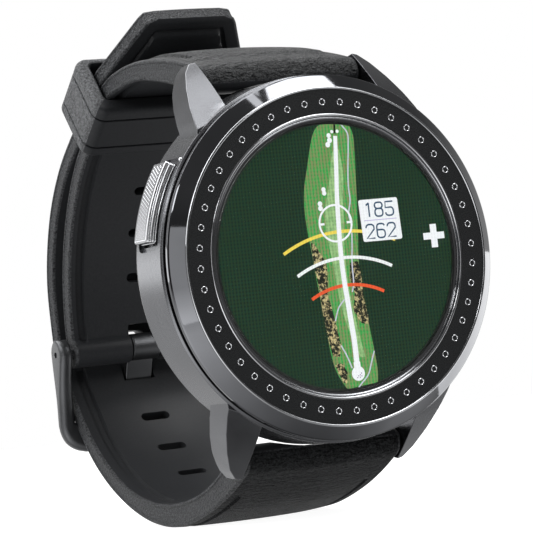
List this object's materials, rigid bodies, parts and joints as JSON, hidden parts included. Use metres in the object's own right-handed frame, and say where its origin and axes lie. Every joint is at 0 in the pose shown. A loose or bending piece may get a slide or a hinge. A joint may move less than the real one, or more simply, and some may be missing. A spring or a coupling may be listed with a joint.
{
  "type": "golf gps watch",
  "caption": "Round golf GPS watch on a buckled rubber strap, with a pipped bezel, colour display, side button, keeper and tang buckle.",
  "frame": {"origin": "centre of the flat case back, which rests on the wrist", "axes": "+X to 3 o'clock, -Y out of the dial, +Y from the case back into the wrist space, +Z to 12 o'clock"},
  "size_m": [0.0458, 0.0651, 0.0672],
  "materials": {
    "case": "gunmetal coating, satin, brushed on the lugs",
    "bezel": "gunmetal coating, satin slope",
    "insert": "black, satin",
    "pips": "polished domes",
    "rim": "polished",
    "glass": "clear, flat",
    "display": "lit colour panel",
    "seal": "matte",
    "inner_frame": "black anodised",
    "board": "circuit board with solder mask",
    "antenna": "unglazed patch",
    "battery": "laminated foil pouch",
    "steel": "fine turned",
    "flex": "flexible printed cable",
    "back": "dark, satin",
    "contact": "gold plated",
    "button": "bright, diamond knurled",
    "strap": "matte silicone with a fine grain outside",
    "keeper": "matte silicone",
    "buckle": "black coating, satin"
  },
  "bodies": {
    "watch": {"case_body": "case", "bezel_ring": "bezel", "bezel_insert": "insert", "pip_ring": "pips", "inner_rim": "rim", "glass": "glass", "display_panel": "display", "bezel_gasket": "seal", "display_frame": "inner_frame", "main_board": "board", "gps_antenna": "antenna", "battery": "battery", "vibration_motor": "steel", "flex_cable": "flex", "back_cover": "back", "back_gasket": "seal", "back_screw_1": "steel", "back_screw_2": "steel", "back_screw_3": "steel", "back_screw_4": "steel", "charge_contact_1": "contact", "charge_contact_2": "contact", "charge_contact_3": "contact", "charge_contact_4": "contact", "button_seal": "seal", "button_switch": "steel", "spring_bar_upper": "steel", "spring_bar_lower": "steel", "upper_strap": "strap", "lower_strap": "strap", "buckle_pin": "steel"},
    "button": {"button": "button", "button_clip": "steel"},
    "keeper": {"keeper": "keeper"},
    "buckle_frame": {"buckle_frame": "buckle"},
    "buckle_prong": {"buckle_prong": "buckle"}
  },
  "joints": [
    {"name": "button_press", "type": "slide", "parent": "watch", "child": "button", "axis": [0.9252, 0, -0.3795], "range_m": [0, 0.0005], "stiffness_N_per_m": 4000},
    {"name": "keeper_slide", "type": "slide", "parent": "watch", "child": "keeper", "axis": [0, 0.788, -0.6157], "range_m": [0, 0.0045]},
    {"name": "buckle_frame_swing", "type": "hinge", "parent": "watch", "child": "buckle_frame", "pos_m": [0, 0.0465, -0.0078], "axis": [1, 0, 0], "range_deg": [-1, 0.8]},
    {"name": "buckle_prong_swing", "type": "hinge", "parent": "watch", "child": "buckle_prong", "pos_m": [0, 0.0465, -0.0078], "axis": [1, 0, 0], "range_deg": [0, 2]}
  ]
}
